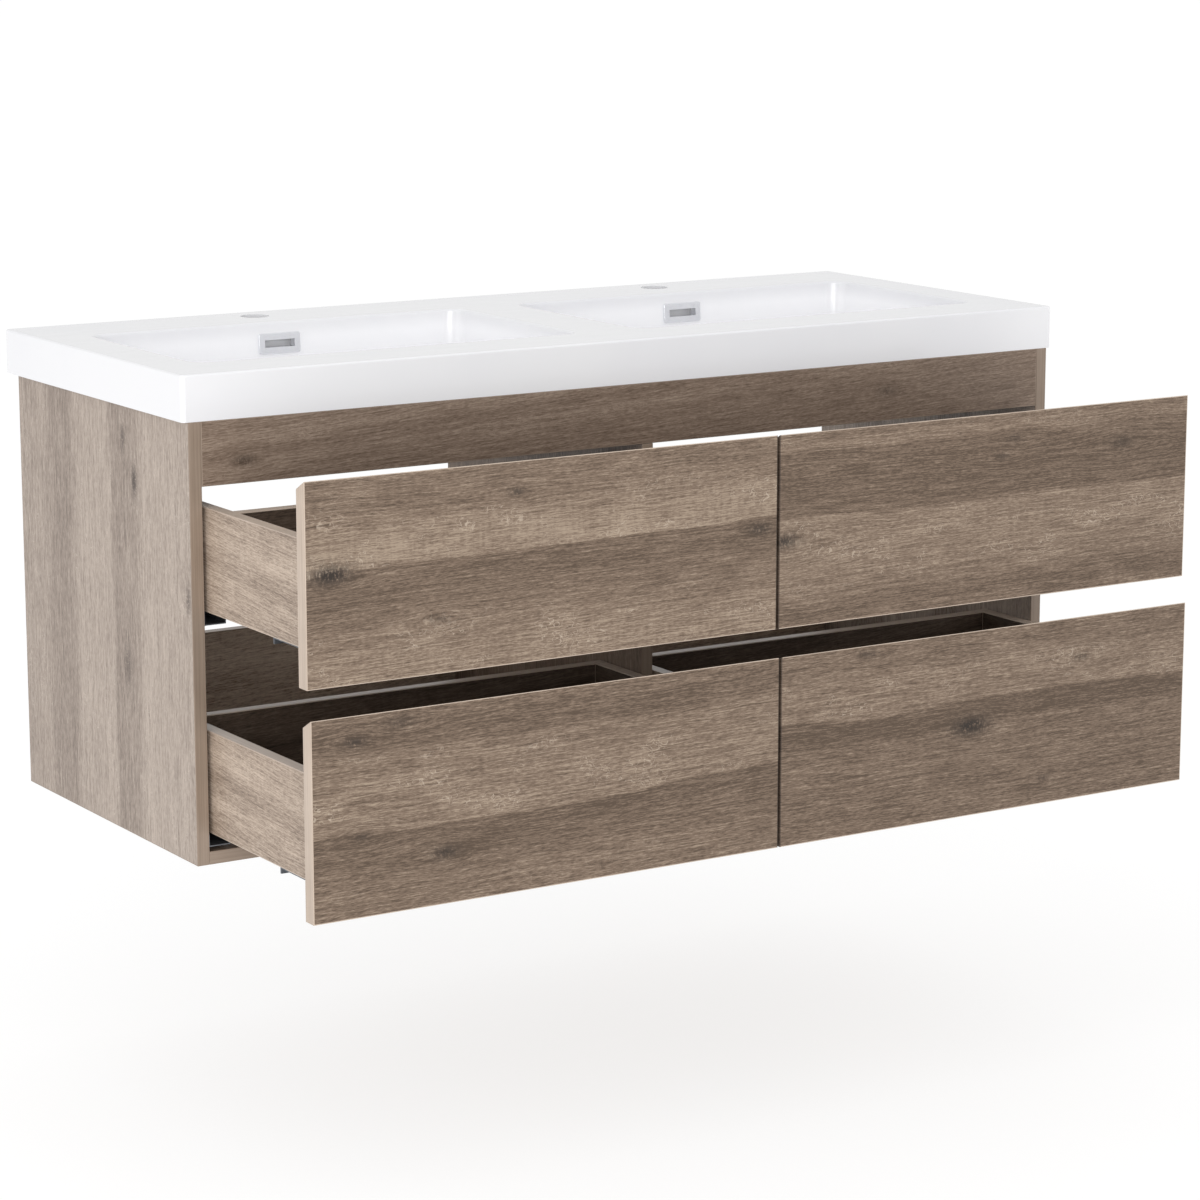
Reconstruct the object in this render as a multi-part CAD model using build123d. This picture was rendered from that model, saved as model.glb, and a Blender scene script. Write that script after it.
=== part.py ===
from build123d import *
from math import atan2, degrees
import os

# A wall-hung double vanity cabinet: cast resin top with two basins, open-backed carcass of
# laminated board, and four drawers on undermount runners with sprung locking levers.
# X runs across the cabinet and Y from the room to the wall. The origin lies on the wall
# plane, at the centre of the four wall bolts. The drawers are modelled pulled out.

# ---- Driving dimensions, millimetres --------------------------------------------------

# Carcass
carcass_depth = 460.0
carcass_height = 498.0
board = 15.0                    # thickness of every carcass panel
front_rail_height = 72.0
rear_rail_height = 90.0
back_panel_height = 146.0       # low back panel, standing on the bottom panel

# Cast top
counter_width = 1200.0
side_overhang = 7.0             # of the top past the carcass, at each end
counter_depth = 480.0
skirt_height = 52.0
skirt_wall = 14.0
deck_thickness = 14.0
counter_corner_radius = 5.0
counter_edge_radius = 2.5
basin_width = 500.0
basin_length = 290.0            # front to back
basin_depth = 104.0
basin_pitch = 582.0             # centre to centre
basin_front_margin = 84.0       # from the front of the top to the rim
basin_wall = 10.0
basin_draft = 8.0               # how far the floor is inset from the rim on each side
basin_corner_radius = 22.0
basin_floor_radius = 14.0
tap_hole_radius = 17.5
tap_hole_from_wall = 44.0
waste_radius = 22.5
waste_boss_radius = 34.0
waste_boss_length = 14.0

# Overflow, a covered slot in the rear wall of each basin
overflow_width = 56.0
overflow_height = 25.0
overflow_drop = 26.0            # from the rim to the middle of the cover
overflow_frame = 3.0            # how far the cover stands proud of the wall
overflow_edge_radius = 1.0
overflow_slot_width = 40.0
overflow_slot_height = 9.0
overflow_spigot = 3.0           # rim between the slot and the outside of the cover's spigot
duct_gap = 9.0                  # clear depth of the moulded duct behind the basin
duct_wall = 5.0
duct_mouth = 16.0               # width of the duct where it opens into the waste
rim_radius = 3.0

# Drawer fronts
front_thickness = 18.0
top_gap = 27.0                  # finger gap under the counter
middle_gap = 31.0               # finger gap between upper and lower fronts
split_gap = 3.0                 # between left and right fronts
front_standoff = 1.5            # closed front to carcass edge
bevel_depth = 13.0              # finger-pull bevel on the rear top edge
bevel_height = 10.0

# Drawer boxes
drawer_board = 15.0
box_length = 345.0
box_height = 117.0
box_rise = 35.0                 # underside of the box above the underside of its front
side_clearance = 4.0            # box to carcass, each side
bottom_thickness = 8.0
bottom_recess = 13.0            # underside of the bottom above the underside of the sides
groove_depth = 6.0
siphon_recess = 130.0           # open space behind the back of an upper drawer
connector_shares = (0.28, 0.82)  # heights of the two connectors, as shares of the box height

# Pull-out of the drawers as modelled, and the runners' whole travel
upper_pull = 249.0
lower_pull = 256.0
runner_travel = 260.0

# Undermount runners
runner_length = 350.0
sheet = 1.2
tray_drop = 15.0                # underside of the fixed member below the drawer side
channel_width = 13.6
head_width = 8.0
head_rise = 5.0                 # underside of the rail head above the underside of the side
lip = 2.6
front_lip_length = 94.0         # lip of the sliding member under the front of the side
roller_radius = 2.6
roller_count = 4
runner_screw_shares = (0.1, 0.5, 0.9)  # screws along a runner, as shares of its length
carriage_length = 76.0
runner_setback = 2.0            # front end of the fixed member behind the carcass edge
flange_gap = 1.2                # top of its flange below the drawer side

# Locking clips and their sprung levers
clip_width = 42.0
clip_length = 62.0
clip_height = 11.0
clip_corner_radius = 3.6
lever_width = 10.0
lever_height = 4.0
lever_drop = 7.0                # how far the grip hangs below the drawer side
lever_travel = 5.0
grip_thickness = 4.0

# Wall brackets and screws
bolt_drop = 60.0                # from the underside of the top down to the wall bolts
bolt_spacing_x = 900.0
bolt_spacing_z = 30.0
bolt_hole_radius = 4.5
bracket_width = 60.0
bracket_sheet = 2.5
wall_plate_height = 65.0
hook_reach = 12.5               # from the wall to the outside of the wall hook
hook_lip = 14.0
screw_radius = 3.0
screw_head_radius = 5.5
screw_head = 2.0
screw_depth = 6.0
connector_radius = 4.0
connector_grip = 12.0           # length of a connecting dowel in the front
connector_reach = 25.0          # where its locking screw crosses, behind the front
locking_screw_radius = 3.2
locking_screw_sink = 0.4        # its head below the outer face of the drawer side

# Named clearances
fit = 0.1                       # glued, housed or screwed pieces
running = 0.3                   # pieces that slide past each other
bracket_play = 1.5
overshoot = 1.0                 # how far a cut runs past the face it opens

# ---- Levels and planes worked out from the dimensions --------------------------------

top_z = bolt_drop
floor_z = top_z - carcass_height
deck_z = top_z + skirt_height
front_y = -counter_depth
rear_y = front_y + carcass_depth
half_width = counter_width / 2 - side_overhang
inner_x = half_width - board
partition_x = board / 2
front_height = (carcass_height - top_gap - middle_gap) / 2
basin_y = front_y + basin_front_margin + basin_length / 2
basin_floor_z = deck_z - basin_depth
basin_rear_y = basin_y + basin_length / 2
roller_gap = bottom_recess - sheet - head_rise - sheet

SIDES = {"left": -1, "right": 1}
ROWS = ("upper", "lower")


# ---- Small helpers --------------------------------------------------------------------

def block(x0, x1, y0, y1, z0, z1):
    """A box between two corners, given in any order."""
    size = (abs(x1 - x0), abs(y1 - y0), abs(z1 - z0))
    centre = ((x0 + x1) / 2, (y0 + y1) / 2, (z0 + z1) / 2)
    return Pos(*centre) * Box(*size)


def rod(radius, start, direction, length):
    """A cylinder from a point along an axis direction."""
    plane = Plane(origin=start, z_dir=direction)
    return plane * Cylinder(radius, length, align=(Align.CENTER, Align.CENTER, Align.MIN))


def extrude_profile(points, x0, x1):
    """A closed (y, z) outline carried from x0 to x1."""
    face = make_face(Polyline(*[(y, z) for y, z in points], close=True))
    return Plane(origin=(x0, 0, 0), x_dir=(0, 1, 0), z_dir=(1, 0, 0)) * extrude(face, x1 - x0)


def save(name, *solids):
    """Write one node; several solids become one group of separate pieces."""
    bodies = [piece for solid in solids for piece in solid.solids()]
    shape = bodies[0] if len(bodies) == 1 else Compound(children=bodies)
    export_step(shape, f"parts/{name}.step")


# ---- Carcass --------------------------------------------------------------------------

def runner_screw_points(bay_side, row):
    """Where the runner screws enter: (wall x, inward direction, y, z) for one drawer."""
    z = box_bottom(row) - tray_drop / 2
    ys = [front_y + share * runner_length for share in runner_screw_shares]
    walls = ((partition_x * bay_side, bay_side), (inner_x * bay_side, -bay_side))
    return [(x, inward, y, z) for x, inward in walls for y in ys]


def all_runner_screw_points():
    """Every runner screw of the four drawers."""
    return [
        point for bay_side in SIDES.values() for row in ROWS
        for point in runner_screw_points(bay_side, row)
    ]


def drill_for_runners(panel, x_low, x_high):
    """Pilot holes in an upright panel whose faces lie at x_low and x_high."""
    for x, inward, y, z in all_runner_screw_points():
        if x_low - fit <= x <= x_high + fit:
            panel -= rod(screw_radius + fit, (x, y, z), (-inward, 0, 0), screw_depth + fit)
    return panel


def side_panel(side):
    """An upright end panel, full depth and full height."""
    outer = half_width * side
    inner = inner_x * side
    panel = block(inner, outer, front_y, rear_y, floor_z, top_z)
    return drill_for_runners(panel, min(inner, outer), max(inner, outer))


def centre_partition():
    """The middle upright, notched round both rails and the low back panel."""
    panel = block(-partition_x, partition_x, front_y, rear_y, floor_z + board, top_z)
    wide = board
    panel -= block(-wide, wide, front_y - fit, front_y + board + fit,
                   top_z - front_rail_height - fit, top_z + fit)
    panel -= block(-wide, wide, rear_y - board - fit, rear_y + fit,
                   top_z - rear_rail_height - fit, top_z + fit)
    panel -= block(-wide, wide, rear_y - board - fit, rear_y + fit,
                   floor_z, floor_z + board + back_panel_height + fit)
    return drill_for_runners(panel, -partition_x, partition_x)


def front_rail():
    """The board above the upper drawers, flush with the front edges."""
    return block(-inner_x, inner_x, front_y, front_y + board, top_z - front_rail_height, top_z)


def bracket_screw_points():
    """(x, z) of the screws that hold the hanging brackets to the rear rail."""
    across = bracket_width / 2 - 2 * screw_head_radius
    levels = (-bolt_spacing_z / 2, bolt_spacing_z / 2)
    centres = (-bolt_spacing_x / 2, bolt_spacing_x / 2)
    return [(cx + dx, z) for cx in centres for dx in (-across, across) for z in levels]


def rear_rail():
    """The hanging rail across the top of the open back."""
    rail = block(-inner_x, inner_x, rear_y - board, rear_y, top_z - rear_rail_height, top_z)
    for x, z in bracket_screw_points():
        rail -= rod(screw_radius + fit, (x, rear_y, z), (0, -1, 0), board - bracket_sheet)
    return rail


def bottom_panel():
    """The floor of the carcass, between the end panels."""
    return block(-inner_x, inner_x, front_y, rear_y, floor_z, floor_z + board)


def back_panel():
    """The low back, which leaves the upper half open for the pipes."""
    base = floor_z + board
    return block(-inner_x, inner_x, rear_y - board, rear_y, base, base + back_panel_height)


# ---- Cast top with two basins ---------------------------------------------------------

def bowl(grow, x, deck, floor):
    """A tapering rounded-rectangle bowl, enlarged by grow on every side."""
    top = Pos(x, basin_y, deck) * RectangleRounded(
        basin_width + 2 * grow, basin_length + 2 * grow, basin_corner_radius + grow)
    inset = 2 * basin_draft
    low = Pos(x, basin_y, floor) * RectangleRounded(
        basin_width + 2 * grow - inset, basin_length + 2 * grow - inset,
        basin_corner_radius + grow)
    return loft([low.face(), top.face()])


def basin_hollow(x):
    """The water space of one basin, rounded where the walls meet the floor."""
    hollow = bowl(0, x, deck_z, basin_floor_z)
    floor_edges = hollow.edges().group_by(Axis.Z)[0]
    return fillet(floor_edges, basin_floor_radius)


def overflow_z():
    """Height of the middle of each overflow."""
    return deck_z - overflow_drop


def spigot_half_width():
    """Half the width of the hole that takes the cover's spigot."""
    return overflow_slot_width / 2 + overflow_spigot + fit


def duct_outer(x):
    """Moulded duct from the overflow down to the waste boss, outside shape."""
    half = spigot_half_width() + duct_wall
    low = basin_floor_z - basin_wall - waste_boss_length
    back = basin_rear_y + duct_gap + 2 * duct_wall
    upright = block(x - half, x + half, basin_rear_y - 2 * basin_draft, back,
                    low, deck_z - deck_thickness / 2)
    run = block(x - half, x + half, basin_y, back, low, basin_floor_z - basin_wall / 2)
    return upright + run


def duct_inner(x):
    """The water way inside the duct, narrowed where it meets the waste."""
    half = spigot_half_width()
    low = basin_floor_z - basin_wall - waste_boss_length + duct_wall
    high = overflow_z() + overflow_height / 2
    back = basin_rear_y + duct_wall + duct_gap
    floor = basin_floor_z - basin_wall
    run = block(x - half, x + half, basin_y + waste_boss_radius, back, low, floor)
    shaft = block(x - half, x + half, basin_rear_y + duct_wall, back, low, high)
    mouth = block(x - duct_mouth / 2, x + duct_mouth / 2, basin_y,
                  basin_y + waste_boss_radius + duct_wall, low, floor)
    return run + shaft + mouth


def countertop():
    """The cast top: skirt, deck, two bowls, overflow ducts, tap and waste holes."""
    half = counter_width / 2
    top = block(-half, half, front_y, 0, top_z, deck_z)
    top = fillet(top.edges().filter_by(Axis.Z), counter_corner_radius)
    top = fillet(top.faces().sort_by(Axis.Z)[-1].edges(), counter_edge_radius)
    inside = half - skirt_wall
    under = block(-inside, inside, front_y + skirt_wall, -skirt_wall,
                  top_z, deck_z - deck_thickness)
    under = fillet(under.edges().filter_by(Axis.Z), counter_corner_radius)
    top -= under
    top += block(-partition_x, partition_x, front_y + skirt_wall / 2, -skirt_wall / 2,
                 top_z, deck_z - deck_thickness / 2)
    for side in SIDES.values():
        x = side * basin_pitch / 2
        top += bowl(basin_wall, x, deck_z - deck_thickness / 2, basin_floor_z - basin_wall)
        top += duct_outer(x)
        boss_top = (x, basin_y, basin_floor_z - basin_wall / 2)
        top += rod(waste_boss_radius, boss_top, (0, 0, -1), basin_wall / 2 + waste_boss_length)
    for side in SIDES.values():
        x = side * basin_pitch / 2
        top -= basin_hollow(x)
        top -= duct_inner(x)
        spigot = spigot_half_width()
        rise = overflow_slot_height / 2 + overflow_spigot + fit
        top -= block(x - spigot, x + spigot, basin_rear_y - 2 * basin_draft,
                     basin_rear_y + duct_wall + fit, overflow_z() - rise, overflow_z() + rise)
        top -= rod(waste_radius, (x, basin_y, basin_floor_z + overshoot), (0, 0, -1), basin_depth)
        top -= rod(tap_hole_radius, (x, -tap_hole_from_wall, deck_z + overshoot), (0, 0, -1),
                   skirt_height)
    rims = [
        edge for edge in top.edges().filter_by_position(Axis.Z, deck_z - fit, deck_z + fit)
        if abs(edge.center().Y - basin_y) < basin_length / 2 + fit
        and abs(abs(edge.center().X) - basin_pitch / 2) < basin_width / 2 + fit
    ]
    return fillet(rims, rim_radius)


def overflow_cover(x):
    """A framed cover, leaning with the basin wall, whose spigot sits in the slot."""
    z = overflow_z()
    wall = basin_rear_y - basin_draft * overflow_drop / basin_depth
    lean = degrees(atan2(basin_draft, basin_depth))
    plate = block(-overflow_width / 2, overflow_width / 2, -overflow_frame, -fit / 2,
                  -overflow_height / 2, overflow_height / 2)
    plate = fillet(plate.edges().filter_by(Axis.Y), overflow_frame)
    plate = fillet(plate.faces().sort_by(Axis.Y)[0].edges(), overflow_edge_radius)
    plate = Pos(x, wall, z) * Rot(-lean, 0, 0) * plate
    half = overflow_slot_width / 2
    rise = overflow_slot_height / 2
    spigot = block(x - half - overflow_spigot, x + half + overflow_spigot,
                   wall - overflow_frame / 2, basin_rear_y + duct_wall,
                   z - rise - overflow_spigot, z + rise + overflow_spigot)
    slot = block(x - half, x + half, wall - 2 * overflow_frame, basin_rear_y + duct_gap,
                 z - rise, z + rise)
    return plate + spigot - slot


# ---- Drawers --------------------------------------------------------------------------

def front_bottom(row):
    """Underside of a drawer front."""
    return floor_z if row == "lower" else floor_z + front_height + middle_gap


def box_bottom(row):
    """Underside of a drawer box."""
    return front_bottom(row) + box_rise


def pull(row):
    """How far the drawer is modelled pulled out."""
    return upper_pull if row == "upper" else lower_pull


def front_back_y(row):
    """Rear face of a drawer front, which the box butts against."""
    return front_y - front_standoff - pull(row)


def box_rear_y(row):
    """Rear end of the drawer sides."""
    return front_back_y(row) + box_length


def back_face_y(row):
    """Rear face of the drawer's back board."""
    return box_rear_y(row) - (siphon_recess if row == "upper" else 0)


def box_sides_x(bay_side):
    """Outer faces of a drawer box as (x, inward direction), left side first."""
    walls = [
        (bay_side * (partition_x + side_clearance), bay_side),
        (bay_side * (inner_x - side_clearance), -bay_side),
    ]
    return sorted(walls)


def connector_levels(row):
    """Heights of the two connectors in each drawer side."""
    base = box_bottom(row)
    return [base + share * box_height for share in connector_shares]


def drawer_front(bay_side, row):
    """An overlay front with a finger-pull bevel along its rear top edge."""
    low = front_bottom(row)
    high = low + front_height
    back = front_back_y(row)
    face = back - front_thickness
    outline = [
        (face, low), (back, low), (back, high - bevel_height),
        (back - bevel_depth, high), (face, high),
    ]
    edges = sorted((bay_side * split_gap / 2, bay_side * half_width))
    front = extrude_profile(outline, *edges)
    for x, inward in box_sides_x(bay_side):
        middle = x + inward * drawer_board / 2
        for z in connector_levels(row):
            front -= rod(connector_radius + fit, (middle, back, z), (0, -1, 0),
                         connector_grip + fit)
    return front


def drawer_side(bay_side, row, x, inward):
    """One side of a drawer box, grooved for the bottom and bored for the connectors."""
    base = box_bottom(row)
    inner = x + inward * drawer_board
    front = front_back_y(row)
    rear = box_rear_y(row)
    side = block(x, inner, front, rear, base, base + box_height)
    groove_low = base + bottom_recess - fit
    side -= block(inner - inward * groove_depth, inner + inward * overshoot,
                  front - overshoot, back_face_y(row) + fit,
                  groove_low, groove_low + bottom_thickness + 2 * fit)
    middle = x + inward * drawer_board / 2
    for z in connector_levels(row):
        side -= rod(connector_radius + fit, (middle, front, z), (0, 1, 0),
                    connector_reach + 2 * connector_radius)
        side -= rod(locking_screw_radius + fit, (x, front + connector_reach, z),
                    (inward, 0, 0), drawer_board / 2)
    return side


def box_inner_edges(bay_side):
    """Inner faces of the two drawer sides, as (low x, high x)."""
    (x0, in0), (x1, in1) = box_sides_x(bay_side)
    return x0 + in0 * drawer_board, x1 + in1 * drawer_board


def drawer_back(bay_side, row):
    """The back board, standing on the drawer bottom between the sides."""
    low, high = box_inner_edges(bay_side)
    base = box_bottom(row)
    rear = back_face_y(row)
    return block(low, high, rear - drawer_board, rear,
                 base + bottom_recess + bottom_thickness, base + box_height)


def drawer_bottom(bay_side, row):
    """The bottom, housed in the grooves of both sides."""
    low, high = box_inner_edges(bay_side)
    base = box_bottom(row) + bottom_recess
    reach = groove_depth - fit
    return block(low - reach, high + reach, front_back_y(row), back_face_y(row),
                 base, base + bottom_thickness)


def front_connectors(bay_side, row):
    """Steel dowels from the front into each side, and the screws that lock them."""
    pieces = []
    back = front_back_y(row)
    for x, inward in box_sides_x(bay_side):
        middle = x + inward * drawer_board / 2
        for z in connector_levels(row):
            length = connector_grip + connector_reach + connector_radius
            pieces.append(rod(connector_radius, (middle, back - connector_grip, z),
                              (0, 1, 0), length))
            head = x + inward * locking_screw_sink
            reach = drawer_board / 2 - connector_radius - locking_screw_sink - fit
            screw = rod(locking_screw_radius, (head, back + connector_reach, z),
                        (inward, 0, 0), reach)
            socket = rod(locking_screw_radius / 2, (head, back + connector_reach, z),
                         (inward, 0, 0), reach / 2)
            pieces.append(screw - socket)
    return pieces


# ---- Undermount runners ---------------------------------------------------------------

def runner_walls(bay_side):
    """Carcass faces that carry the two runners of a bay, as (x, inward direction)."""
    return [(x - inward * side_clearance, inward) for x, inward in box_sides_x(bay_side)]


def channel_start():
    """From the carcass face to the outside of the sliding channel."""
    return side_clearance + drawer_board + running


def head_centre():
    """From the carcass face to the middle of the rail head."""
    return channel_start() + channel_width / 2


def fixed_runner(wall, inward, row):
    """The fixed member: flange, tray and an upstanding rail with a flat head."""
    base = box_bottom(row)
    start = front_y + runner_setback
    end = start + runner_length

    def bar(u0, u1, w0, w1):
        return block(wall + inward * u0, wall + inward * u1, start, end, base + w0, base + w1)

    middle = head_centre()
    runner = bar(0, sheet, -tray_drop, -flange_gap)
    runner += bar(0, middle + sheet / 2, -tray_drop, -tray_drop + sheet)
    runner += bar(middle - sheet / 2, middle + sheet / 2, -tray_drop, head_rise + sheet)
    runner += bar(middle - head_width / 2, middle + head_width / 2,
                  head_rise, head_rise + sheet)
    for x, way, y, z in runner_screw_points_near(wall, inward, row):
        runner -= rod(screw_radius + fit, (x - way * overshoot, y, z), (way, 0, 0),
                      sheet + 2 * overshoot)
    return runner


def runner_screw_points_near(wall, inward, row):
    """The screws of one fixed member."""
    bay_side = 1 if wall > 0 else -1
    return [
        point for point in runner_screw_points(bay_side, row)
        if abs(point[0] - wall) < board and point[1] == inward
    ]


def sliding_runner(wall, inward, row):
    """The sliding member: a channel over the rail head, with a lip under the drawer side."""
    base = box_bottom(row)
    start = front_back_y(row) + running
    end = box_rear_y(row)
    outer = channel_start()
    inner = outer + channel_width

    def bar(u0, u1, w0, w1, y0=start, y1=end):
        return block(wall + inward * u0, wall + inward * u1, y0, y1, base + w0, base + w1)

    low = head_rise - running * 2 - 2 * sheet
    channel = bar(outer, inner, bottom_recess - sheet, bottom_recess)
    channel += bar(outer, outer + sheet, low, bottom_recess)
    channel += bar(inner - sheet, inner, low, bottom_recess)
    channel += bar(outer, outer + lip, low, low + sheet)
    channel += bar(inner - lip, inner, low, low + sheet)
    lip_end = start + front_lip_length
    channel += bar(outer, outer + sheet, -sheet, low + sheet, start, lip_end)
    channel += bar(side_clearance + running, outer + sheet, -sheet, 0, start, lip_end)
    channel += bar(side_clearance + running, outer + sheet, -lever_drop, 0,
                   lip_end - 2 * sheet, lip_end)
    slot = lever_slot_y(row)
    channel -= bar(inner - sheet - overshoot, inner + overshoot, pawl_low() - running,
                   pawl_low() + lever_height + running,
                   slot - lever_width / 2 - running, slot + lever_width / 2 + running)
    return channel


def carriage_y(row):
    """Front end of the roller carriage, which moves half as far as the drawer."""
    foremost = front_y + 2 * runner_setback
    return foremost + (runner_travel - pull(row)) / 2


def roller_carriage(wall, inward, row):
    """Plastic cage with rollers between the rail head and the sliding channel."""
    base = box_bottom(row) + head_rise + sheet
    start = carriage_y(row)
    centre = wall + inward * head_centre()
    half = head_width / 2
    axle_z = base + roller_gap / 2
    cage = block(centre - half, centre + half, start, start + carriage_length,
                 axle_z - roller_radius / 2, axle_z + roller_radius / 2)
    pieces = []
    step = carriage_length / roller_count
    for index in range(roller_count):
        y = start + step * (index + 0.5)
        roller_half = half - sheet
        pocket = roller_radius + running
        cage -= block(centre - roller_half - running, centre + roller_half + running,
                      y - pocket, y + pocket, base, base + roller_gap)
        pieces.append(rod(roller_radius, (centre - roller_half, y, axle_z),
                          (1, 0, 0), 2 * roller_half))
    return [cage] + pieces


# ---- Locking clips and levers ---------------------------------------------------------

def pawl_low():
    """Underside of the lever's sliding bar above the underside of the drawer side."""
    return bottom_recess - clip_height / 2 - lever_height / 2


def lever_slot_y(row):
    """Middle of the lever, front to back."""
    return front_back_y(row) + clip_length / 2


def clip_start():
    """From the carcass face to the outer face of the clip."""
    return channel_start() + channel_width + running


def locking_clip(wall, inward, row):
    """The plastic clip under the front corner of the drawer bottom."""
    base = box_bottom(row)
    front = front_back_y(row) + running
    u0 = clip_start()
    u1 = u0 + clip_width
    high = base + bottom_recess
    clip = block(wall + inward * u0, wall + inward * u1, front, front + clip_length,
                 high - clip_height, high)
    clip = fillet(clip.edges().filter_by(Axis.Z), clip_corner_radius)
    middle = lever_slot_y(row)
    half = lever_width / 2 + running
    low = base + pawl_low()
    clip -= block(wall + inward * (u0 - overshoot), wall + inward * (u1 + overshoot),
                  middle - half, middle + half, low - running, low + lever_height + running)
    grip = u0 + clip_width / 2
    clip -= block(wall + inward * (grip - running),
                  wall + inward * (grip + grip_thickness + lever_travel + running),
                  middle - half, middle + half, base, low)
    return clip


def release_lever(wall, inward, row):
    """The sprung lever: a bar whose end locks in the channel, and a grip below it."""
    base = box_bottom(row)
    low = base + pawl_low()
    middle = lever_slot_y(row)
    half = lever_width / 2
    tip = clip_start() - running - sheet
    u1 = clip_start() + clip_width - lever_travel - running
    bar = block(wall + inward * tip, wall + inward * u1, middle - half, middle + half,
                low, low + lever_height)
    grip = clip_start() + clip_width / 2
    bar += block(wall + inward * grip, wall + inward * (grip + grip_thickness),
                 middle - half, middle + half, base - lever_drop, low + lever_height / 2)
    return bar


# ---- Wall fixings ---------------------------------------------------------------------

def wall_bracket(x):
    """A bent steel plate bolted to the wall, with an upturned hook."""
    t = bracket_sheet
    low = -wall_plate_height / 2
    high = low + wall_plate_height
    outline = [
        (0, low), (0, high), (-hook_reach + t, high), (-hook_reach + t, high + hook_lip - t),
        (-hook_reach, high + hook_lip - t), (-hook_reach, high - t), (-t, high - t), (-t, low),
    ]
    plate = extrude_profile(outline, x - bracket_width / 2, x + bracket_width / 2)
    for z in (-bolt_spacing_z / 2, bolt_spacing_z / 2):
        plate -= rod(bolt_hole_radius, (x, overshoot, z), (0, -1, 0), t + 2 * overshoot)
    return plate


def hanging_bracket(x):
    """A bent steel plate on the rear rail, whose down-turned hook sits over the wall hook."""
    t = bracket_sheet
    rest = wall_plate_height / 2 + hook_lip - t
    low = -bolt_spacing_z / 2 - 2 * screw_head_radius
    drop = rest - hook_lip + t + bracket_play
    tip = -hook_reach + t + bracket_play
    outline = [
        (rear_y, low), (rear_y, rest + t), (tip + t, rest + t), (tip + t, drop), (tip, drop),
        (tip, rest), (rear_y + t, rest), (rear_y + t, low),
    ]
    plate = extrude_profile(outline, x - bracket_width / 2, x + bracket_width / 2)
    for sx, z in bracket_screw_points():
        if abs(sx - x) < bracket_width:
            plate -= rod(screw_radius + fit, (sx, rear_y - overshoot, z), (0, 1, 0),
                         t + 2 * overshoot)
    return plate


def panhead_screw(seat, direction, depth):
    """A screw whose head bears on the seat point and whose shank runs along direction."""
    back = tuple(s - d * screw_head for s, d in zip(seat, direction))
    return rod(screw_head_radius, back, direction, screw_head) + rod(
        screw_radius, seat, direction, depth)


def carcass_screws():
    """Screws that hold the hanging brackets and the fixed runners."""
    screws = []
    for x, z in bracket_screw_points():
        seat = (x, rear_y + bracket_sheet, z)
        screws.append(panhead_screw(seat, (0, -1, 0), board - bracket_sheet))
    for x, inward, y, z in all_runner_screw_points():
        seat = (x + inward * sheet, y, z)
        screws.append(panhead_screw(seat, (-inward, 0, 0), screw_depth))
    return screws


# ---- Writing the nodes ----------------------------------------------------------------

os.makedirs("parts", exist_ok=True)


def write_carcass():
    """Carcass panels, cast top, covers, brackets and screws."""
    for name, side in SIDES.items():
        save(f"side_panel_{name}", side_panel(side))
    save("centre_partition", centre_partition())
    save("front_rail", front_rail())
    save("rear_rail", rear_rail())
    save("bottom_panel", bottom_panel())
    save("back_panel", back_panel())
    save("countertop", countertop())
    save("overflow_covers", *[overflow_cover(s * basin_pitch / 2) for s in SIDES.values()])
    centres = [s * bolt_spacing_x / 2 for s in SIDES.values()]
    save("wall_brackets", *[wall_bracket(x) for x in centres])
    save("hanging_brackets", *[hanging_bracket(x) for x in centres])
    save("carcass_screws", *carcass_screws())


def write_drawer(bay, bay_side, row):
    """All pieces of one drawer and its runners."""
    tag = f"{row}_{bay}"
    save(f"front_{tag}", drawer_front(bay_side, row))
    for hand, (x, inward) in zip(SIDES, box_sides_x(bay_side)):
        save(f"drawer_side_{hand}_{tag}", drawer_side(bay_side, row, x, inward))
    save(f"drawer_back_{tag}", drawer_back(bay_side, row))
    save(f"drawer_bottom_{tag}", drawer_bottom(bay_side, row))
    save(f"front_connectors_{tag}", *front_connectors(bay_side, row))
    walls = runner_walls(bay_side)
    save(f"fixed_runners_{tag}", *[fixed_runner(x, inward, row) for x, inward in walls])
    save(f"sliding_runners_{tag}", *[sliding_runner(x, inward, row) for x, inward in walls])
    rollers = [piece for x, inward in walls for piece in roller_carriage(x, inward, row)]
    save(f"roller_carriages_{tag}", *rollers)
    save(f"locking_clips_{tag}", *[locking_clip(x, inward, row) for x, inward in walls])
    for hand, (x, inward) in zip(SIDES, walls):
        save(f"release_lever_{hand}_{tag}", release_lever(x, inward, row))


write_carcass()
for bay, bay_side in SIDES.items():
    for row in ROWS:
        write_drawer(bay, bay_side, row)
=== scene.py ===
"""Looks of a wall-hung double vanity cabinet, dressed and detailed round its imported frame.

Lengths are in metres. X runs across the cabinet, Y from the room to the wall and Z up.
"""

import logging
import math
from dataclasses import dataclass, field
from enum import Enum
from typing import Any, Callable, Dict, List, Optional, Sequence, Tuple, Union

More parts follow.
